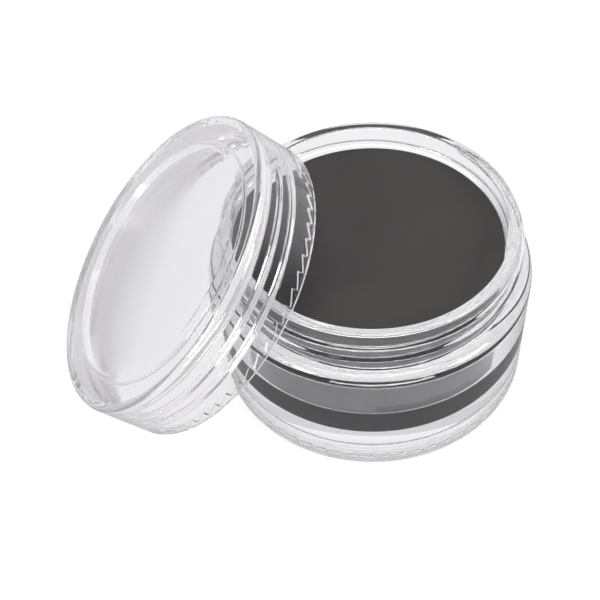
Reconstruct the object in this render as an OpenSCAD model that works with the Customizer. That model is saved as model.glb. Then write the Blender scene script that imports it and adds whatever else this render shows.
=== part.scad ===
// Small clear screw-top pot with a dark cake of colour in it. Its lid is off and leans on the
// neck, with the lower edge of its rim on the table. Millimetres, +Z up, origin on the table,
// midway between the lid's far side and the pot's.

/* [Pot] */
// Outer diameter of the pot at its shoulder
pot_d = 34; // [30:0.1:40]
// How far the foot is set in from the shoulder
side_draft = 0.1; // [0:0.05:1]
// Height of the shoulder above the table
shoulder_h = 14.6; // [12:0.1:20]
// Width of the shoulder round the neck
shoulder_w = 1.7; // [1.5:0.05:3]
// Edge radius round the shoulder
shoulder_edge_r = 1.3; // [0.2:0.05:1.5]
// Edge radius round the foot
foot_edge_r = 0.4; // [0.2:0.05:0.8]

/* [Neck] */
// Height of the neck above the shoulder
neck_h = 5.1; // [4.6:0.1:8]
// Thickness of the neck's wall above the ledge
neck_wall = 1.1; // [0.9:0.05:2]
// Hollow radius where the neck meets the shoulder
neck_root_r = 0.35; // [0.2:0.05:1.3]
// Edge radius of the lip
lip_edge_r = 0.25; // [0.1:0.05:0.4]

/* [Cup] */
// Width of the ledge inside the cup
ledge_w = 0.2; // [0.1:0.05:0.6]
// Height of the ledge above the cup's floor
ledge_h = 3.6; // [1.5:0.1:6]
// Height of the cup's floor above the table
cup_floor_h = 3.9; // [3:0.1:7]
// Corner radius at the cup's floor
cup_corner_r = 0.8; // [0.3:0.1:2]

/* [Underside] */
// Thickness of the cup's floor over the hollow underside
floor_t = 1.9; // [0.8:0.1:2.6]
// Width of the foot ring
foot_ring_w = 2.5; // [1.5:0.1:4]
// Depth of the teeth in the foot ring
foot_tooth_h = 0.35; // [0.1:0.05:0.8]

/* [Cake] */
// Depth of the cake's face below the lip
cake_drop = 2.6; // [1:0.1:6]
// Gap between the cup and the part of the cake that has shrunk
cake_gap = 0.3; // [0.1:0.05:0.6]
// Edge radius of the cake's face
cake_edge_r = 0.2; // [0.1:0.05:0.6]

/* [Lid] */
// Gap between the neck and the bore of the lid
lid_gap = 0.65; // [0.55:0.05:1]
// Thickness of the lid's skirt
skirt_t = 0.9; // [0.7:0.05:1.1]
// Room above the lip when the lid is on
lid_headroom = 0.6; // [0.1:0.05:1]
// Thickness of the lid's top at its raised border
lid_top_t = 1.6; // [1.4:0.05:3]
// Edge radius round the top of the lid
lid_edge_r = 0.8; // [0.3:0.05:1.2]
// Corner radius inside the lid
lid_corner_r = 0.5; // [0.2:0.05:1]
// Width of the raised border round the lid's face
border_w = 4; // [2:0.1:6]
// Depth of the lid's sunk face
face_drop = 0.7; // [0.2:0.05:1]
// Depth of the teeth in the lid's rim
lid_tooth_h = 0.6; // [0.2:0.05:1]
// Width of the lid's rim that stays whole outside the teeth
rim_land_w = 0.35; // [0.2:0.05:0.5]

/* [Thread] */
// Rise of the thread in one turn
thread_pitch = 1.7; // [1.5:0.1:2]
// Turns of the neck's thread
thread_turns = 1.6; // [1:0.05:2]
// Turns of the lid's thread
lid_thread_turns = 2; // [1:0.05:2.25]
// How far a thread stands out of its wall
thread_h = 0.45; // [0.3:0.05:0.45]
// Width of a thread at its root
thread_root_w = 0.95; // [0.7:0.05:1]
// Width of a thread at its crest
thread_crest_w = 0.35; // [0.2:0.05:0.5]
// Height of the neck's thread above the shoulder where it begins
thread_start = 1.1; // [0.9:0.05:1.2]
// Heading of the neck thread's beginning
thread_heading = 190; // [0:5:355]

/* [Teeth] */
// Teeth round the lid's rim and round the foot ring
teeth = 58; // [24:1:72]
// Width of the foot ring that the teeth take up
foot_tooth_l = 0.9; // [0.3:0.1:1.2]

/* [Lean] */
// Lean of the lid's rim from level
lean = 45.6; // [38:0.1:55]
// Turn of the lid about its own axis
lid_turn = -3.1; // [-6:0.1:6]
// Gap between the lid's rim and the pot's lip
lean_gap = 0.2; // [0.1:0.05:0.5]

/* [Hidden] */
pot_r = pot_d / 2;
foot_r = pot_r - side_draft;
neck_r = pot_r - shoulder_w;
cup_r = neck_r - neck_wall;
lip_z = shoulder_h + neck_h;
seat_r = cup_r - ledge_w;
ledge_z = cup_floor_h + ledge_h;
hollow_r = foot_r - foot_ring_w;
hollow_h = cup_floor_h - floor_t;
cake_r = cup_r - cake_gap;
cake_z = lip_z - cake_drop;
lid_bore_r = neck_r + lid_gap;
lid_r = lid_bore_r + skirt_t;
lid_depth = neck_h + lid_headroom;
lid_h = lid_depth + lid_top_t;
face_r = lid_r - border_w;
// Half a turn on, the lid's thread lies midway between the neck's turns when the rim meets
// the shoulder.
lid_thread_heading = thread_heading + 180;

// Where the lid leans, from the pot's axis: its rim's lowest point is on the table, and the
// bore's edge at the height of the lip is lean_gap away from the lip's outer edge on both sides.
lid_z = lid_r * sin(lean);
lip_reach = lip_z / sin(lean) - lid_r;
lip_side = sqrt(pow(lid_bore_r, 2) - pow(lip_reach, 2));
lip_touch_r = neck_r + lean_gap;
lid_x = -sqrt(pow(lip_touch_r, 2) - pow(lip_side, 2)) - lip_reach * cos(lean);
far_side = (lid_r - lid_edge_r) * cos(lean) + (lid_h - lid_edge_r) * sin(lean) + lid_edge_r;
pot_x = (far_side - lid_x - pot_r) / 2;

fine = 96;
tooth_share = 0.9;
tooth_overcut = 0.4;
thread_steps = 48;
thread_sink = 0.2;
thread_fade = 0.1;

// Points of an arc from heading a to heading b, both ends included.
function arc(x, y, r, a, b, steps = 8) =
    [for (i = [0:steps]) let (t = a + (b - a) * i / steps) [x + r * cos(t), y + r * sin(t)]];

// A thread as one ridge that climbs anticlockwise and rises out of its wall at each end. A
// negative height points it inwards.
module thread(wall_r, height, start_z, heading, turns) {
    rings = ceil(turns * thread_steps);
    sink = sign(height) * thread_sink;
    function fade(t) = min(1, t * turns / thread_fade, (1 - t) * turns / thread_fade);
    function rise(t) = (height + sink / 2) * fade(t) - sink / 2;
    function ring(i) = let (
        t = i / rings,
        a = heading + 360 * turns * t,
        z = start_z + thread_pitch * turns * t,
        root = wall_r - sink,
        crest = wall_r + rise(t)
    ) [
        for (p = [[root, -thread_root_w / 2], [crest, -thread_crest_w / 2],
                  [crest, thread_crest_w / 2], [root, thread_root_w / 2]])
            [p[0] * cos(a), p[0] * sin(a), z + p[1]]
    ];
    points = [for (i = [0:rings]) each ring(i)];
    sides = [
        for (i = [0:rings - 1], k = [0:3])
            let (a = 4 * i + k, b = 4 * i + (k + 1) % 4)
                each [[a, a + 4, b], [b, a + 4, b + 4]]
    ];
    first = [[0, 1, 2], [0, 2, 3]];
    last = [for (f = first) [for (k = [2:-1:0]) f[k] + 4 * rings]];
    faces = concat(sides, first, last);
    polyhedron(points, height > 0 ? [for (f = faces) [f[2], f[1], f[0]]] : faces);
}

// Ratchet teeth cut upwards into a ring that stands on z = 0. The cuts begin in the open,
// inside the ring.
module ratchet_cuts(ring_r, outer_r, depth) {
    half = PI * (ring_r + outer_r) / 2 / teeth * tooth_share;
    inner_r = ring_r - tooth_overcut;
    for (i = [0:teeth - 1])
        rotate([0, 0, 360 * i / teeth])
            translate([inner_r, 0, 0])
                rotate([90, 0, 90])
                    linear_extrude(height = outer_r - inner_r)
                        polygon([[-half, -depth], [half, -depth], [half, depth], [-half, 0]]);
}

module pot_profile() {
    outside = concat(
        [[hollow_r, 0]],
        arc(foot_r - foot_edge_r, foot_edge_r, foot_edge_r, -90, 0),
        arc(pot_r - shoulder_edge_r, shoulder_h - shoulder_edge_r, shoulder_edge_r, 0, 90),
        arc(neck_r + neck_root_r, shoulder_h + neck_root_r, neck_root_r, 270, 180),
        arc(neck_r - lip_edge_r, lip_z - lip_edge_r, lip_edge_r, 0, 90)
    );
    inside = concat(
        arc(cup_r + lip_edge_r, lip_z - lip_edge_r, lip_edge_r, 90, 180),
        [[cup_r, ledge_z + ledge_w], [seat_r, ledge_z]],
        arc(seat_r - cup_corner_r, cup_floor_h + cup_corner_r, cup_corner_r, 0, -90),
        [[0, cup_floor_h], [0, hollow_h], [hollow_r, hollow_h]]
    );
    polygon(concat(outside, inside));
}

module pot() {
    color([0.88, 0.89, 0.92, 0.4])
        translate([pot_x, 0, 0])
            difference() {
                union() {
                    rotate_extrude($fn = fine) pot_profile();
                    thread(neck_r, thread_h, shoulder_h + thread_start, thread_heading, thread_turns);
                }
                ratchet_cuts(hollow_r, hollow_r + foot_tooth_l, foot_tooth_h);
            }
}

module cake() {
    outline = concat(
        [[0, cup_floor_h]],
        arc(seat_r - cup_corner_r, cup_floor_h + cup_corner_r, cup_corner_r, -90, 0),
        [[seat_r, ledge_z], [cake_r, ledge_z]],
        arc(cake_r - cake_edge_r, cake_z - cake_edge_r, cake_edge_r, 0, 90),
        [[0, cake_z]]
    );
    color([0.25, 0.24, 0.24])
        translate([pot_x, 0, 0])
            rotate_extrude($fn = fine) polygon(outline);
}

module lid_profile() {
    outside = concat(
        [[lid_bore_r, 0], [lid_r, 0]],
        arc(lid_r - lid_edge_r, lid_h - lid_edge_r, lid_edge_r, 0, 90),
        [[face_r + face_drop / 2, lid_h], [face_r, lid_h - face_drop], [0, lid_h - face_drop]]
    );
    inside = concat(
        [[0, lid_depth]],
        arc(lid_bore_r - lid_corner_r, lid_depth - lid_corner_r, lid_corner_r, 90, 0)
    );
    polygon(concat(outside, inside));
}

module lid() {
    color([0.88, 0.87, 0.92, 0.4])
        translate([pot_x + lid_x, 0, lid_z])
            rotate([0, -lean, 0])
                rotate([0, 0, lid_turn])
                    difference() {
                        union() {
                            rotate_extrude($fn = fine) lid_profile();
                            thread(lid_bore_r, -thread_h, thread_start, lid_thread_heading,
                                   lid_thread_turns);
                        }
                        ratchet_cuts(lid_bore_r, lid_r - rim_land_w, lid_tooth_h);
                    }
}

pot();
cake();
lid();
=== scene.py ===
"""Looks of a small clear screw-top pot of colour whose lid leans on its neck. Metres, +Z up."""

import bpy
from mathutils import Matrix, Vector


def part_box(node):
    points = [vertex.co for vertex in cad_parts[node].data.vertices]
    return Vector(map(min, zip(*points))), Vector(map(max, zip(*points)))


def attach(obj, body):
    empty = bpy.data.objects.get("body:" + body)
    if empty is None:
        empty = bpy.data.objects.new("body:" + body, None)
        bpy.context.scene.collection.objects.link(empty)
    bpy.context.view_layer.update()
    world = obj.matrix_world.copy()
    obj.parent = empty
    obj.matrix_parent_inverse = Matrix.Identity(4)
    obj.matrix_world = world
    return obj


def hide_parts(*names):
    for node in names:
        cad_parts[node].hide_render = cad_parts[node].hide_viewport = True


bl_info = {
    "name": "Screw-top colour pot",
    "version": (1, 0, 0),
    "blender": (4, 5, 0),
    "location": "View3D > Sidebar > Colour Pot",
    "description": "Clear pot with its cake of colour and its leaning lid, on a plain white stage",
    "category": "Object",
}

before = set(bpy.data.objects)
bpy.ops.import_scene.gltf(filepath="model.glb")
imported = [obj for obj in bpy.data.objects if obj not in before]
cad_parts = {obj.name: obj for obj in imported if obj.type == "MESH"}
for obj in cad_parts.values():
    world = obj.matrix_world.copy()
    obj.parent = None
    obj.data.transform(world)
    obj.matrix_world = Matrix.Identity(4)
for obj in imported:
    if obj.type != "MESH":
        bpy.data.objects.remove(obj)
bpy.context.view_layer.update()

import math

import bmesh
import bpy
from bpy.props import (
    FloatProperty,
    FloatVectorProperty,
    IntProperty,
    PointerProperty,
)
from mathutils import Matrix, Vector

MM = 0.001
POT_LOW, POT_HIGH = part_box("pot")


def length(name, description, millimetres):
    """A length setting, given here in millimetres and kept in metres."""
    return FloatProperty(
        name=name, description=description, default=millimetres * MM, unit="LENGTH", precision=5
    )


def angle(name, description, degrees):
    """An angle setting, given here in degrees and kept in radians."""
    return FloatProperty(
        name=name, description=description, default=math.radians(degrees), subtype="ANGLE"
    )


def colour(name, description, value):
    """A colour setting, linear and without alpha."""
    return FloatVectorProperty(
        name=name, description=description, default=value, subtype="COLOR", size=3,
        min=0.0, max=1.0,
    )


class PotSizes(bpy.types.PropertyGroup):
    """Sizes of the clear pot."""

    width: length("Width", "Outer diameter at the shoulder", (POT_HIGH.x - POT_LOW.x) / MM)
    side_draft: length("Side draft", "How far the foot is set in from the shoulder", 0.1)
    shoulder_h: length("Shoulder height", "Height of the shoulder above the table", 14.6)
    shoulder_w: length("Shoulder width", "Width of the shoulder round the neck", 1.7)
    shoulder_edge: length("Shoulder edge", "Edge radius round the shoulder", 1.3)
    foot_edge: length("Foot edge", "Edge radius round the foot", 0.4)
    neck_h: length("Neck height", "Height of the neck above the shoulder", 5.1)
    neck_wall: length("Neck wall", "Thickness of the neck's wall", 1.1)
    neck_root: length("Neck root", "Hollow radius where the neck meets the shoulder", 0.35)
    lip_edge: length("Lip edge", "Edge radius of the lip", 0.25)
    ledge_w: length("Ledge width", "Width of the ledge inside the cup", 0.2)
    ledge_h: length("Ledge height", "Height of the ledge above the cup's floor", 3.6)
    floor_h: length("Cup floor", "Height of the cup's floor above the table", 3.9)
    corner: length("Cup corner", "Corner radius at the cup's floor", 0.8)
    floor_t: length("Floor thickness", "Thickness of the cup's floor", 2.2)
    foot_ring_w: length("Foot ring", "Width of the foot ring", 2.5)
    hollow_edge: length("Hollow corner", "Corner radius at the top of the hollow foot", 0.9)
    tooth_h: length("Foot teeth", "Depth of the teeth in the foot ring", 0.2)
    tooth_l: length("Foot tooth length", "Width of the foot ring that the teeth take up", 0.5)


class CakeSizes(bpy.types.PropertyGroup):
    """Sizes of the cake of colour."""

    drop: length("Drop", "Depth of the cake's face below the lip", 2.6)
    gap: length("Gap", "Gap between the cup and the part of the cake that has shrunk", 0.3)
    edge: length("Edge", "Edge radius of the cake's face", 0.2)
    wetting: length("Wetting", "How far the cake's lower part is pressed into the wall", 0.03)
    lift: length("Lift", "Air under the cake", 0.02)


class LidSizes(bpy.types.PropertyGroup):
    """Sizes of the clear lid and of the way it leans."""

    gap: length("Gap", "Gap between the neck and the bore of the lid", 0.65)
    skirt_t: length("Skirt", "Thickness of the lid's skirt", 0.9)
    seal_r: length("Seal", "Outer radius of the ring that seals the cup", 13.85)
    seal_w: length("Seal width", "Width of the sealing ring", 0.3)
    seal_h: length("Seal height", "Height of the sealing ring", 0.3)
    headroom: length("Headroom", "Room above the lip when the lid is on", 0.6)
    top_t: length("Top", "Thickness of the lid's top at its raised border", 1.6)
    edge: length("Edge", "Edge radius round the top", 0.8)
    corner: length("Corner", "Corner radius inside", 0.2)
    border_w: length("Border", "Width of the raised border round the face", 4.0)
    face_drop: length("Face drop", "Depth of the sunk face", 0.7)
    tooth_low: length("Teeth above rim", "Height of the teeth's tips above the rim", 0.2)
    tooth_h: length("Rim teeth", "Depth of the teeth in the rim", 0.6)
    land_w: length("Rim land", "Width of the rim that stays whole outside the teeth", 0.5)
    fine_edge: length("Fine edge", "Radius that softens the rim's outer edge", 0.02)
    lean: angle("Lean", "Lean of the rim from level", 45.6)
    lean_gap: length("Lean gap", "Gap between the rim and the lip", 0.2)
    turn: angle("Turn", "Turn of the lid about its own axis", -3.1)


class ThreadSizes(bpy.types.PropertyGroup):
    """Sizes of the thread on the neck and in the lid, and of the teeth."""

    pitch: length("Pitch", "Rise of the thread in one turn", 1.7)
    turns: FloatProperty(name="Turns", description="Turns of the neck's thread", default=1.6)
    lid_turns: FloatProperty(name="Lid turns", description="Turns of the lid's thread", default=2)
    height: length("Height", "How far a thread stands out of its wall", 0.45)
    root_w: length("Root width", "Width of a thread at its root", 0.95)
    crest_w: length("Crest width", "Width of the neck's thread at its crest", 0.35)
    lid_crest_w: length("Lid crest", "Width of the lid's thread at its crest", 0.1)
    start: length("Start", "Height of the thread's beginning above the shoulder", 1.1)
    heading: angle("Heading", "Heading of the neck thread's beginning", 190)
    fade: FloatProperty(
        name="Fade", description="Turns over which a thread rises and dies", default=0.1
    )
    teeth: IntProperty(name="Teeth", description="Teeth round the rim and the foot", default=58)


class FinishColours(bpy.types.PropertyGroup):
    """Colours of the finishes."""

    pot_plastic: colour("Pot plastic", "Tint of the clear pot", (0.95, 0.95, 0.965))
    lid_plastic: colour("Lid plastic", "Tint of the clear lid", (0.85, 0.84, 0.865))
    cake_face: colour("Cake face", "Colour of the cake's face", (0.046, 0.043, 0.0415))
    # The dry side is the cake's own dark grey with painted light on top: it is painted paler than
    # the face, which is just as dry, for the light that the air gap behind the wall reflects.
    cake_dry_with_painted_light: colour("Dry side", "Colour of the cake's dry side", (0.108, 0.105, 0.109))
    cake_wet: colour("Wet side", "Colour of the cake where it wets the wall", (0.03, 0.029, 0.031))
    # Painted light: the dark cake's underside is painted pale, standing in for the light that
    # shines up through the clear base.
    cake_under_painted_light: colour("Underside", "Colour of the cake's dry underside", (0.5, 0.495, 0.5))


class StageSettings(bpy.types.PropertyGroup):
    """Floor, light and camera."""

    floor_size: length("Floor", "Side of the floor", 3000)
    floor_gap: length("Floor gap", "Gap under the foot", 0.04)
    camera: FloatVectorProperty(
        name="Camera", description="Place of the camera", subtype="XYZ", unit="LENGTH",
        default=(-0.00273, -0.08546, 0.10928),
    )
    camera_up: FloatVectorProperty(
        name="Camera up", description="Upward direction of the picture", subtype="XYZ",
        default=(0.0950, 0.7587, 0.6445),
    )
    camera_view: FloatVectorProperty(
        name="Camera view", description="Direction in which the camera looks", subtype="XYZ",
        default=(0.0259, 0.6453, -0.7635),
    )
    lens: FloatProperty(name="Lens", description="Focal length", default=72.0, unit="CAMERA")


GROUPS = {
    "pot": PotSizes,
    "cake": CakeSizes,
    "lid": LidSizes,
    "thread": ThreadSizes,
    "colours": FinishColours,
    "stage": StageSettings,
}


# ---- Shapes ---------------------------------------------------------------------------------

ARC_STEPS = 8
FINE_ARC_STEPS = 18
# How near each end of a long run its extra point stands. Nearer than this counts as touching.
HOLD = 0.05 * MM
# Where the columns of points stand in each tooth, in shares of its width. The last two make its
# steep side.
TOOTH_COLUMNS = (0.05, 0.275, 0.5, 0.725, 0.945, 0.955)
# Height that marks the points which the teeth move.
TOOTH_LEVEL = 0.001 * MM
# Rows of points up a threaded wall.
THREAD_ROWS = 110
# Points nearer than this become one.
MERGE = 1e-8
# An edge that bends more than this stays sharp.
SHARP = math.radians(38)


def arc(x, y, radius, start, end, steps=ARC_STEPS):
    """Points of an arc from heading start to heading end, in degrees, both included."""
    turns = [math.radians(start + (end - start) * i / steps) for i in range(steps + 1)]
    return [(x + radius * math.cos(t), y + radius * math.sin(t)) for t in turns]


def rows(a, b, count):
    """Points between a and b, neither included."""
    return [tuple(Vector(a).lerp(Vector(b), i / count)) for i in range(1, count)]


def held(points):
    """The points, with one more near each end of each long run, so that it is shaded flat."""
    result = [points[0]]
    for a, b in zip(points, points[1:]):
        span = (Vector(b) - Vector(a)).length
        if span > 4 * HOLD:
            for share in (HOLD / span, 1 - HOLD / span):
                result.append(tuple(Vector(a).lerp(Vector(b), share)))
        result.append(b)
    return result


def turned(points, columns):
    """A solid turned from a profile whose two ends lie on the axis."""
    bm = bmesh.new()
    last = len(points) - 1
    bmesh.ops.create_grid(bm, x_segments=columns, y_segments=last, size=1)
    joined = []
    for v in bm.verts:
        column, row = round((v.co.x + 1) / 2 * columns), round((v.co.y + 1) / 2 * last)
        heading = math.tau * (column % columns) / columns
        r, z = points[row]
        v.co = (r * math.cos(heading), r * math.sin(heading), z)
        if column in (0, columns) or row in (0, last):
            joined.append(v)
    bmesh.ops.remove_doubles(bm, verts=joined, dist=MERGE)
    bmesh.ops.recalc_face_normals(bm, faces=bm.faces)
    return bm


def reshape(bm, rule):
    """Moves each vertex off the axis as rule(radius, heading, height) says."""
    for v in bm.verts:
        r = math.hypot(v.co.x, v.co.y)
        if r > HOLD:
            r, a, z = rule(r, math.atan2(v.co.y, v.co.x) % math.tau, v.co.z)
            v.co = (r * math.cos(a), r * math.sin(a), z)


def tooth_heading(a, teeth):
    """Where a column at heading a goes, so that each tooth has a steep side."""
    per_tooth = len(TOOTH_COLUMNS)
    column = round(a / math.tau * teeth * per_tooth)
    tooth, k = divmod(column, per_tooth)
    return (tooth + TOOTH_COLUMNS[k] - 0.5) * math.tau / teeth


def tooth_cut(a, teeth):
    """Share of a tooth's depth that is cut away at heading a."""
    low, high, past = TOOTH_COLUMNS[0], *TOOTH_COLUMNS[-2:]
    share = (a / math.tau * teeth + 0.5) % 1
    return (share - low) / (high - low) if low < share < (high + past) / 2 else 0.0


def thread_lift(t, a, z, start_z, heading, turns, crest_w):
    """How far a thread stands out of its wall at heading a and height z."""
    lift = 0.0
    turn = ((a - heading) / math.tau) % 1
    while turn < turns:
        away = abs(z - start_z - t.pitch * turn)
        share = (t.root_w / 2 - away) / ((t.root_w - crest_w) / 2)
        share = max(0.0, min(1.0, share))
        end = min(1.0, turn / t.fade, (turns - turn) / t.fade)
        lift = max(lift, t.height * end * share * share * (3 - 2 * share))
        turn += 1
    return lift


def finished(bm, name, body, node, material):
    """Makes the shape a piece that stands for its CAD node."""
    for f in bm.faces:
        f.smooth = True
    for e in bm.edges:
        e.smooth = len(e.link_faces) == 2 and e.calc_face_angle(0) < SHARP
    mesh = bpy.data.meshes.new(name)
    bm.to_mesh(mesh)
    bm.free()
    piece = bpy.data.objects.new(name, mesh)
    bpy.context.scene.collection.objects.link(piece)
    mesh.materials.append(material)
    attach(piece, body)
    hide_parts(node)


# ---- Shader tools ---------------------------------------------------------------------------


class Value:
    """A node's output, on which shader maths is written as plain Python."""

    def __init__(self, shader, socket):
        self.shader, self.socket = shader, socket

    def __getitem__(self, name):
        """Another output of the same node."""
        return Value(self.shader, self.socket.node.outputs[name])

    def maths(self, operation, first, second):
        return self.shader.node(
            "ShaderNodeMath", {"operation": operation}, {0: first, 1: second}
        )

    def __add__(self, other):
        return self.maths("ADD", self, other)

    def __sub__(self, other):
        return self.maths("SUBTRACT", self, other)

    def __mul__(self, other):
        return self.maths("MULTIPLY", self, other)

    def __pow__(self, other):
        return self.maths("POWER", self, other)

    def __rsub__(self, other):
        return self.maths("SUBTRACT", other, self)

    __radd__, __rmul__ = __add__, __mul__

    def step(self, low, high):
        """0 below low and 1 above high, with a smooth change between."""
        return self.shader.node(
            "ShaderNodeMapRange", {"interpolation_type": "SMOOTHSTEP"},
            {"Value": self, "From Min": low, "From Max": high},
        )


class Shader:
    """A node tree. Every node but the maths comes from node()."""

    def __init__(self, owner):
        owner.use_nodes = True
        self.tree = owner.node_tree
        self.tree.nodes.clear()

    def node(self, kind, settings=None, inputs=None):
        """A node of a kind, with its settings and then the values or links of its sockets."""
        made = self.tree.nodes.new(kind)
        for name, value in (settings or {}).items():
            setattr(made, name, value)
        for name, value in (inputs or {}).items():
            if isinstance(value, Value):
                self.tree.links.new(value.socket, made.inputs[name])
            else:
                made.inputs[name].default_value = value
        return Value(self, made.outputs[0]) if made.outputs else None

    def mix(self, share, first, second):
        """A colour between first and second."""
        made = self.node("ShaderNodeMix", {"data_type": "RGBA"}, {"Factor": share})
        node = made.socket.node
        for socket, value in ((node.inputs[6], first), (node.inputs[7], second)):
            if isinstance(value, Value):
                self.tree.links.new(value.socket, socket)
            else:
                socket.default_value = (*value, 1)
        return Value(self, node.outputs[2])

    def place(self, moved=(0, 0, 0)):
        """Where the surface point is in the object, in metres, moved by an offset."""
        here = self.node("ShaderNodeTexCoord")["Object"]
        return self.node("ShaderNodeMapping", None, {"Vector": here, "Location": moved})

    def split(self, vector):
        """The X, Y and Z of a vector, each taken by its name."""
        return self.node("ShaderNodeSeparateXYZ", None, {"Vector": vector})

    def noise(self, where, scale, detail=2.0, roughness=0.5):
        return self.node(
            "ShaderNodeTexNoise", None,
            {"Vector": where, "Scale": scale, "Detail": detail, "Roughness": roughness},
        )["Fac"]

    def bump(self, height, strength, distance):
        return self.node(
            "ShaderNodeBump", None,
            {"Height": height, "Strength": strength, "Distance": distance},
        )

    def surface(self, **sockets):
        """The Principled shader, with its sockets named in small letters."""
        inputs = {k.replace("_", " ").title().replace("Ior", "IOR"): v for k, v in sockets.items()}
        shader = self.node("ShaderNodeBsdfPrincipled", None, inputs)
        self.node("ShaderNodeOutputMaterial", None, {"Surface": shader})


# ---- Finishes -------------------------------------------------------------------------------
# A noise is its scale, detail and roughness, and a bump its strength and depth. Any other pair is
# where a change begins and where it is whole. Frost is added roughness.

POLYSTYRENE_IOR = 1.56
FLOW_NOISE = (90, 2)
FLOW_MARKS = (0.35, 0.7)
FLOW_SHADE = 0.985
FLOW_BUMP = (0.01, 0.2 * MM)

FOOT_FROST = 0.9
FOOT_FROST_HEIGHTS = (0.4 * MM, 0.5 * MM)

# The lid's frost grows from one side to the other: how much far and low count for, and where.
LID_FROST = 0.12
FAR_SHARE = 0.45
LOW_SHARE = 0.9
LID_FROST_FROM = (-6 * MM, 3 * MM)
# The middle of its top, from a little below its inner face and within its sunk face.
TOP_FROST = 0.08
TOP_BELOW = (0.04 * MM, 0.02 * MM)
TOP_FADE = 2 * MM
# Its rim, up to a height and across to the high side.
RIM_FROST = 0.2
RIM_HEIGHTS = (1.0 * MM, 1.4 * MM)
RIM_ACROSS = (2 * MM, 6 * MM)

# The cake: its grain all over, clouds on its face, and specks and a smear just above the ledge.
GRAIN_NOISE = (2600, 4, 0.6)
GRAIN_BUMP = (0.15, 0.03 * MM)
GRAIN_ROUGHNESS = 0.1
CAKE_ROUGHNESS = 0.62
CAKE_SPECULAR = 0.35
CLOUD_NOISE = (140, 3)
CLOUDS = (0.3, 0.7)
CLOUD_SHADE = 0.93
SPECK_NOISE = (1500, 3, 0.7)
SPECKS = (0.56, 0.66)
SPECKS_ABOVE_LEDGE = (0.4 * MM, 1.6 * MM)
SPECK_SHARE = 0.2
SMEAR_NOISE = (420, 3, 0.6)
SMEAR_HEIGHT = 1.6 * MM
SMEAR_EDGE = 0.15 * MM
SMEAR_ACROSS = (-1.6 * MM, -1.2 * MM)
SMEAR_SHARE = 0.8
# How far below its plane the face's colour begins and is whole, how far the ledge's line is
# blurred, and where the underside's painted light ends above the cake's lowest point and the
# floor.
FACE_BELOW = (0.3 * MM, 0.1 * MM)
LEDGE_BLUR = 0.05 * MM
UNDER_ABOVE_LOW = 0.01 * MM
UNDER_ABOVE_FLOOR = 0.08 * MM


def clear_plastic(name, tint, frost):
    """Clear polystyrene with faint flow marks. frost gives its roughness in a shader."""
    material = bpy.data.materials.new(name)
    s = Shader(material)
    flow = s.noise(s.place(), *FLOW_NOISE)
    shade = tuple(c * FLOW_SHADE for c in tint)
    s.surface(
        base_color=s.mix(flow.step(*FLOW_MARKS), shade, tuple(tint)),
        roughness=frost(s),
        ior=POLYSTYRENE_IOR,
        transmission_weight=1.0,
        normal=s.bump(flow, *FLOW_BUMP),
    )
    return material


def foot_frost(s):
    """Roughness of the pot: frosted where it stands on the table, polished above."""
    return (1 - s.split(s.place())["Z"].step(*FOOT_FROST_HEIGHTS)) * FOOT_FROST


def lid_frost(s, matrix, depth, reach):
    """Roughness of the lid: frosted on the side that lies low and far, a little more on the
    middle of its top there, and most on its rim, except where that is high. depth is how deep
    the lid is inside, and reach the radius of its sunk face."""
    split = s.split(s.place(tuple(-matrix.translation)))
    across, along, height = (
        split["X"] * axis.x + split["Y"] * axis.y + split["Z"] * axis.z
        for axis in (column.xyz for column in matrix.col[:3])
    )
    square = split["X"] ** 2 + split["Y"] ** 2 + split["Z"] ** 2
    away = (square - height ** 2) ** 0.5
    middle = height.step(*(depth - below for below in TOP_BELOW))
    middle = middle * (1 - away.step(reach - TOP_FADE, reach))
    side = (along * FAR_SHARE - across * LOW_SHARE).step(*LID_FROST_FROM)
    rim = (1 - height.step(*RIM_HEIGHTS)) * (1 - across.step(*RIM_ACROSS))
    return side * (middle * TOP_FROST + LID_FROST) + rim * RIM_FROST


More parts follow.
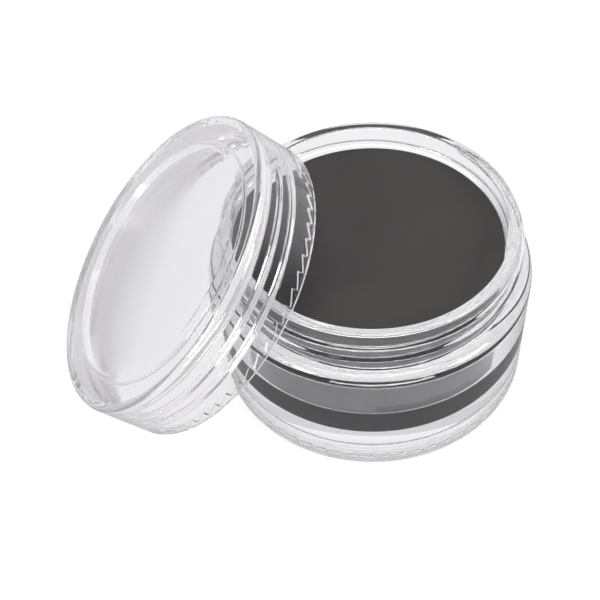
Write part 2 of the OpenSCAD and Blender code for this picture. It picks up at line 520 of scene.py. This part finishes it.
def pressed_colour(name, colours, cup, cake, pot_x):
    """The cake: matte face, a dry side above the ledge that is painted paler than the face with
    painted light, a darker wetted side below it, and an underside painted pale as painted light.
    """
    material = bpy.data.materials.new(name)
    s = Shader(material)
    here = s.place((-pot_x, 0, 0))
    split = s.split(here)
    height = split["Z"]
    grain = s.noise(here, *GRAIN_NOISE)
    ledge_z = cup.floor_h + cup.ledge_h
    face_z = cup.shoulder_h + cup.neck_h - cake.drop
    on_face = height.step(*(face_z - below for below in FACE_BELOW))
    above_ledge = height.step(ledge_z - LEDGE_BLUR, ledge_z + LEDGE_BLUR)

    near_ledge = 1 - height.step(*(ledge_z + above for above in SPECKS_ABOVE_LEDGE))
    speck = s.noise(here, *SPECK_NOISE).step(*SPECKS) * near_ledge
    ragged = s.noise(here, *SMEAR_NOISE) * SMEAR_HEIGHT
    smear = 1 - (height - ledge_z - ragged).step(0, SMEAR_EDGE)
    smear = smear * split["X"].step(*SMEAR_ACROSS)
    marks = smear * SMEAR_SHARE + speck * SPECK_SHARE
    # The dry side's colour is the cake's own grey with painted light on top.
    dry = s.mix(marks, tuple(colours.cake_dry_with_painted_light), tuple(colours.cake_wet))

    # The underside's pale colour is painted light, for the light that shines up through the clear
    # base.
    low = cup.floor_h + cake.lift
    under = 1 - height.step(low + UNDER_ABOVE_LOW, cup.floor_h + UNDER_ABOVE_FLOOR)
    wet = s.mix(under, tuple(colours.cake_wet), tuple(colours.cake_under_painted_light))
    side = s.mix(above_ledge, wet, dry)

    shade = tuple(c * CLOUD_SHADE for c in colours.cake_face)
    cloud = s.noise(here, *CLOUD_NOISE).step(*CLOUDS)
    face = s.mix(cloud, shade, tuple(colours.cake_face))
    s.surface(
        base_color=s.mix(on_face, side, face),
        roughness=grain * GRAIN_ROUGHNESS + CAKE_ROUGHNESS,
        specular_ior_level=CAKE_SPECULAR,
        normal=s.bump(grain, *GRAIN_BUMP),
    )
    return material


# ---- Pieces ---------------------------------------------------------------------------------


def settings(context):
    """The settings of everything here."""
    return context.scene.colour_pot


def pot_radii(pot):
    """Radii of the pot: outside, foot, neck, cup, seat of the cake, hollow."""
    outer = pot.width / 2
    neck = outer - pot.shoulder_w
    cup = neck - pot.neck_wall
    foot = outer - pot.side_draft
    return outer, foot, neck, cup, cup - pot.ledge_w, foot - pot.foot_ring_w


def pot_centre():
    """Where the pot's axis is along X."""
    return (POT_LOW.x + POT_HIGH.x) / 2


class PotPiece(bpy.types.Operator):
    """Makes the clear pot: body, threaded neck, cup and hollow foot with its teeth"""

    bl_idname = "colour_pot.pot"
    bl_label = "Clear Pot"

    def execute(self, context):
        chosen = settings(context)
        p, t = chosen.pot, chosen.thread
        outer, foot, neck, cup, seat, hollow = pot_radii(p)
        lip_z = p.shoulder_h + p.neck_h
        ledge_z = p.floor_h + p.ledge_h
        hollow_z = p.floor_h - p.floor_t
        tooth_end = hollow + p.tooth_l
        shoulder = arc(
            outer - p.shoulder_edge, p.shoulder_h - p.shoulder_edge, p.shoulder_edge, 0, 90,
            FINE_ARC_STEPS,
        )
        fillet = arc(
            neck + p.neck_root, p.shoulder_h + p.neck_root, p.neck_root, 270, 180, FINE_ARC_STEPS
        )
        lip_out = arc(neck - p.lip_edge, lip_z - p.lip_edge, p.lip_edge, 0, 90)
        outside = held(
            [(0, hollow_z)]
            + arc(hollow - p.hollow_edge, hollow_z - p.hollow_edge, p.hollow_edge, 90, 0)
            + [(hollow, TOOTH_LEVEL), (tooth_end, TOOTH_LEVEL), (tooth_end, 0)]
            + arc(foot - p.foot_edge, p.foot_edge, p.foot_edge, -90, 0)
            + shoulder
            + fillet
        )
        inside = held(
            arc(cup + p.lip_edge, lip_z - p.lip_edge, p.lip_edge, 90, 180)
            + [(cup, ledge_z + p.ledge_w), (seat, ledge_z)]
            + arc(seat - p.corner, p.floor_h + p.corner, p.corner, 0, -90)
            + [(0, p.floor_h)]
        )
        neck_wall = rows(fillet[-1], lip_out[0], THREAD_ROWS)
        points = outside + neck_wall + held(lip_out + inside[:1])[:-1] + inside
        bm = turned(points, t.teeth * len(TOOTH_COLUMNS))

        def rule(r, a, z):
            a = tooth_heading(a, t.teeth)
            if abs(z - TOOTH_LEVEL) < TOOTH_LEVEL / 2:
                z = max(TOOTH_LEVEL, p.tooth_h * tooth_cut(a, t.teeth))
            if z > p.shoulder_h + HOLD and r > cup + p.neck_wall / 2:
                lift = thread_lift(
                    t, a, z, p.shoulder_h + t.start, t.heading, t.turns, t.crest_w
                )
                r = max(r, neck + lift) if lift > 0 else r
            return r, a, z

        reshape(bm, rule)
        bmesh.ops.translate(bm, verts=bm.verts, vec=(pot_centre(), 0, 0))
        plastic = clear_plastic("Clear pot", chosen.colours.pot_plastic, foot_frost)
        finished(bm, "clear_pot", "pot", "pot", plastic)
        return {"FINISHED"}


# How far below the ledge the cake's wetted side and the slope over it end, and the slope's width.
WET_SIDE_BELOW = 0.08 * MM
WET_EDGE_BELOW = 0.02 * MM
WET_EDGE_W = 0.05 * MM


class CakePiece(bpy.types.Operator):
    """Makes the cake of colour: flat face, shrunk dry side and a lower part that wets the cup"""

    bl_idname = "colour_pot.cake"
    bl_label = "Cake of Colour"

    def execute(self, context):
        chosen = settings(context)
        p, c, t = chosen.pot, chosen.cake, chosen.thread
        seat = pot_radii(p)[4]
        side = seat + p.ledge_w - c.gap
        wet = seat + c.wetting
        ledge_z = p.floor_h + p.ledge_h
        low = p.floor_h + c.lift
        top = p.shoulder_h + p.neck_h - c.drop
        points = held(
            [(0, low)]
            + arc(wet - p.corner, low + p.corner, p.corner, -90, 0)
            + [(wet, ledge_z - WET_SIDE_BELOW), (wet - WET_EDGE_W, ledge_z - WET_EDGE_BELOW)]
            + [(side, ledge_z)]
            + arc(side - c.edge, top - c.edge, c.edge, 0, 90)
            + [(0, top)]
        )
        bm = turned(points, t.teeth * len(TOOTH_COLUMNS))
        bmesh.ops.translate(bm, verts=bm.verts, vec=(pot_centre(), 0, 0))
        pressed = pressed_colour("Pressed colour", chosen.colours, p, c, pot_centre())
        finished(bm, "colour_cake", "pot", "cake", pressed)
        return {"FINISHED"}


class LidPiece(bpy.types.Operator):
    """Makes the clear lid: sunk face, raised border, threaded skirt and toothed rim"""

    bl_idname = "colour_pot.lid"
    bl_label = "Clear Lid"

    def execute(self, context):
        chosen = settings(context)
        p, t, d = chosen.pot, chosen.thread, chosen.lid
        neck = pot_radii(p)[2]
        bore = neck + d.gap
        outer = bore + d.skirt_t
        depth = p.neck_h + d.headroom
        top = depth + d.top_t
        face = outer - d.border_w
        face_z = top - d.face_drop
        land = outer - d.land_w
        seal_edge = d.seal_w / 2
        seal = arc(d.seal_r - seal_edge, depth - d.seal_h + seal_edge, seal_edge, 180, 360)
        corner = arc(bore - d.corner, depth - d.corner, d.corner, 90, 0)
        first_row = (bore, d.tooth_low + d.tooth_h + HOLD)
        under_top = held(
            [(0, depth), (d.seal_r - d.seal_w, depth)] + seal + [(d.seal_r, depth), corner[0]]
        )
        threaded = corner[1:] + rows(corner[-1], first_row, THREAD_ROWS) + [first_row]
        outside = held(
            [(bore, TOOTH_LEVEL), (land, TOOTH_LEVEL), (land, 0)]
            + arc(outer - d.fine_edge, d.fine_edge, d.fine_edge, -90, 0)
            + arc(outer - d.edge, top - d.edge, d.edge, 0, 90)
            + [(face + d.face_drop / 2, top), (face, face_z), (0, face_z)]
        )
        bm = turned(under_top + threaded + outside, t.teeth * len(TOOTH_COLUMNS))

        def rule(r, a, z):
            a = tooth_heading(a, t.teeth)
            if abs(z - TOOTH_LEVEL) < TOOTH_LEVEL / 2:
                z = d.tooth_low + d.tooth_h * tooth_cut(a, t.teeth)
            elif r < bore + HOLD and first_row[1] - HOLD < z < depth - d.corner / 2:
                lift = thread_lift(
                    t, a, z, t.start, t.heading + math.pi, t.lid_turns, t.lid_crest_w
                )
                r = min(r, bore - lift) if lift > 0 else r
            return r, a, z

        reshape(bm, rule)
        place_of_lid = lid_place(d, neck, bore, outer, p)
        bmesh.ops.transform(bm, verts=bm.verts, matrix=place_of_lid)
        plastic = clear_plastic(
            "Clear lid", chosen.colours.lid_plastic,
            lambda s: lid_frost(s, place_of_lid, depth, face),
        )
        finished(bm, "clear_lid", "lid", "lid", plastic)
        return {"FINISHED"}


def lid_place(d, neck, bore, outer, pot):
    """Where the lid leans: its rim on the table, and its bore's edge a small gap off the lip."""
    lip_z = pot.shoulder_h + pot.neck_h
    reach = lip_z / math.sin(d.lean) - outer
    side = math.sqrt(bore ** 2 - reach ** 2)
    x = -math.sqrt((neck + d.lean_gap) ** 2 - side ** 2) - reach * math.cos(d.lean)
    z = outer * math.sin(d.lean)
    lean = Matrix.Rotation(-d.lean, 4, "Y") @ Matrix.Rotation(d.turn, 4, "Z")
    return Matrix.Translation((pot_centre() + x, 0, z)) @ lean


# ---- Stage ----------------------------------------------------------------------------------

FLOOR_WHITE = (0.95, 0.95, 0.95, 1)
FLOOR_GLOW = 1.04
MIRRORED_FLOOR = (0.42, 0.42, 0.43)
# How much of the glow the floor keeps under the pot, how much more it has away from it, and how
# much less in a ring under the hollow foot. The weaker glow under the pot and in the ring is
# painted shadow: the pot's soft shadow and the ring of shadow that the hollow foot casts through
# the clear plastic, and it lets the paint's own shadow show. The rest is plain white paint, which
# takes shadow.
GLOW_UNDER_POT = 0.84
GLOW_AWAY = 0.12
GLOW_AWAY_FROM = (16.5 * MM, 18.5 * MM)
RING_SHADE = 0.24
SHADOW_RING_IN = (12.0 * MM, 12.8 * MM)
SHADOW_RING_OUT = (14.3 * MM, 14.6 * MM)

# The room's colours, and the parts of a direction's Z and Y over which they change. Matte
# surfaces are lit by the room as if it were all of one dark grey.
WHITE = (1, 1, 1)
CEILING_GREY = (0.72, 0.72, 0.74)
WALL_TO_CEILING = (0.6, 0.95)
DARK_FRONT = (0.12, 0.12, 0.13)
FRONT_TO_BACK = (-0.4, 0.3)
MATTE_LIGHT = (0.15, 0.15, 0.15)

# Each softbox: name, place, point aimed at, width, height and radiance, where 1 is white.
SOFTBOXES = (
    ("Left softbox", (-0.35, -0.25, 0.28), (0, 0, 0), 0.18, 0.18, 11),
    ("Right softbox", (0.35, -0.2, 0.28), (0, 0, 0), 0.18, 0.18, 11),
    ("Top softbox", (0, 0.05, 0.5), (0, 0, 0), 0.3, 0.3, 3),
    ("Front strip", (0, -0.6, 0.09), (0, 0, 0.02), 0.7, 0.16, 14),
)

SENSOR_WIDTH = 36.0
CLIP_START = 1 * MM
CLEAR_BOUNCES = 32
GLOSSY_BOUNCES = 20


def seen_rays(path):
    """1 or more for the rays that come from the camera, straight, mirrored or through plastic."""
    return path["Is Camera Ray"] + path["Is Glossy Ray"] + path["Is Transmission Ray"]


def white_floor():
    """White paint that takes shadow, under a white glow that only the seen rays meet. The glow is
    weaker under the pot and in a ring under its hollow foot, a painted shadow.
    """
    material = bpy.data.materials.new("White floor")
    s = Shader(material)
    path = s.node("ShaderNodeLightPath")
    paint = s.node("ShaderNodeBsdfDiffuse", None, {"Color": FLOOR_WHITE})
    mirrored = path["Is Glossy Ray"] * (1 - path["Is Transmission Ray"])
    tone = s.mix(mirrored, WHITE, MIRRORED_FLOOR)
    glow = s.node("ShaderNodeEmission", None, {"Color": tone, "Strength": FLOOR_GLOW})
    split = s.split(s.place((-pot_centre(), 0, 0)))
    away = (split["X"] ** 2 + split["Y"] ** 2) ** 0.5
    # Painted shadow: less glow under the pot and in a ring under its hollow foot.
    ring = away.step(*SHADOW_RING_IN) * (1 - away.step(*SHADOW_RING_OUT))
    kept = away.step(*GLOW_AWAY_FROM) * GLOW_AWAY + GLOW_UNDER_POT - ring * RING_SHADE
    share = seen_rays(path).step(0, 1) * (mirrored + (1 - mirrored) * kept)
    both = s.node("ShaderNodeMixShader", None, {0: share, 1: paint, 2: glow})
    s.node("ShaderNodeOutputMaterial", None, {"Surface": both})
    return material


def lay_floor(size, gap):
    """A square floor, a gap below the pot's foot."""
    bm = bmesh.new()
    bmesh.ops.create_grid(bm, x_segments=1, y_segments=1, size=size / 2)
    bmesh.ops.translate(bm, verts=bm.verts, vec=(0, 0, -gap))
    mesh = bpy.data.meshes.new("floor")
    bm.to_mesh(mesh)
    bm.free()
    floor = bpy.data.objects.new("floor", mesh)
    bpy.context.scene.collection.objects.link(floor)
    mesh.materials.append(white_floor())


def studio_world():
    """White to the camera. Plastic meets a white room with a grey ceiling and a dark front."""
    world = bpy.data.worlds.new("Studio")
    w = Shader(world)
    path = w.node("ShaderNodeLightPath")
    toward = w.split(w.node("ShaderNodeTexCoord")["Generated"])
    room = w.mix(toward["Z"].step(*WALL_TO_CEILING), WHITE, CEILING_GREY)
    backdrop = w.mix(toward["Y"].step(*FRONT_TO_BACK), DARK_FRONT, room)
    studio = w.mix(path["Is Camera Ray"], backdrop, WHITE)
    tone = w.mix(seen_rays(path).step(0, 1), MATTE_LIGHT, studio)
    background = w.node("ShaderNodeBackground", None, {"Color": tone, "Strength": 1.0})
    w.node("ShaderNodeOutputWorld", None, {"Surface": background})
    return world


def softbox(name, spot, aim, width, height, radiance):
    """A lamp that seems radiance bright, where 1 is white."""
    lamp = bpy.data.lights.new(name, "AREA")
    lamp.shape = "RECTANGLE"
    lamp.size, lamp.size_y = width, height
    lamp.energy = radiance * math.pi * width * height
    holder = bpy.data.objects.new(name, lamp)
    holder.location = spot
    holder.rotation_euler = (Vector(aim) - Vector(spot)).to_track_quat("-Z", "Y").to_euler()
    bpy.context.scene.collection.objects.link(holder)


def stage_camera(stage):
    """The camera, turned by its direction of view and the picture's upward direction."""
    lens = bpy.data.cameras.new("Camera")
    lens.sensor_width = SENSOR_WIDTH
    lens.lens = stage.lens
    lens.clip_start = CLIP_START
    camera = bpy.data.objects.new("Camera", lens)
    view = Vector(stage.camera_view).normalized()
    right = view.cross(Vector(stage.camera_up)).normalized()
    turn = Matrix((right, right.cross(view), -view)).transposed().to_4x4()
    camera.matrix_world = Matrix.Translation(stage.camera) @ turn
    bpy.context.scene.collection.objects.link(camera)
    return camera


class Stage(bpy.types.Operator):
    """Makes the white floor, the soft light and the camera"""

    bl_idname = "colour_pot.stage"
    bl_label = "Stage"

    def execute(self, context):
        stage, scene = settings(context).stage, context.scene
        scene.view_settings.view_transform = "Standard"
        scene.cycles.max_bounces = CLEAR_BOUNCES
        scene.cycles.transmission_bounces = CLEAR_BOUNCES
        scene.cycles.glossy_bounces = GLOSSY_BOUNCES
        lay_floor(stage.floor_size, stage.floor_gap)
        scene.world = studio_world()
        for box in SOFTBOXES:
            softbox(*box)
        scene.camera = stage_camera(stage)
        return {"FINISHED"}


class ColourPotPanel(bpy.types.Panel):
    """Lists the pieces and their settings"""

    bl_label = "Colour Pot"
    bl_idname = "VIEW3D_PT_colour_pot"
    bl_space_type = "VIEW_3D"
    bl_region_type = "UI"
    bl_category = "Colour Pot"

    def draw(self, context):
        for maker in MAKERS:
            self.layout.operator(maker.bl_idname)
        for name, group in GROUPS.items():
            box = self.layout.box()
            box.label(text=name.title())
            for prop in group.__annotations__:
                box.prop(getattr(settings(context), name), prop)


class ColourPotSettings(bpy.types.PropertyGroup):
    """All settings of the pot, its cake, its lid and the stage."""

    pot: PointerProperty(type=PotSizes)
    cake: PointerProperty(type=CakeSizes)
    lid: PointerProperty(type=LidSizes)
    thread: PointerProperty(type=ThreadSizes)
    colours: PointerProperty(type=FinishColours)
    stage: PointerProperty(type=StageSettings)


MAKERS = (PotPiece, CakePiece, LidPiece, Stage)
CLASSES = (*GROUPS.values(), ColourPotSettings, *MAKERS, ColourPotPanel)


def register():
    for cls in CLASSES:
        bpy.utils.register_class(cls)
    bpy.types.Scene.colour_pot = PointerProperty(type=ColourPotSettings)


def unregister():
    del bpy.types.Scene.colour_pot
    for cls in reversed(CLASSES):
        bpy.utils.unregister_class(cls)


def main():
    register()
    bpy.ops.colour_pot.pot()
    bpy.ops.colour_pot.cake()
    bpy.ops.colour_pot.lid()
    bpy.ops.colour_pot.stage()


if __name__ == "__main__":
    main()
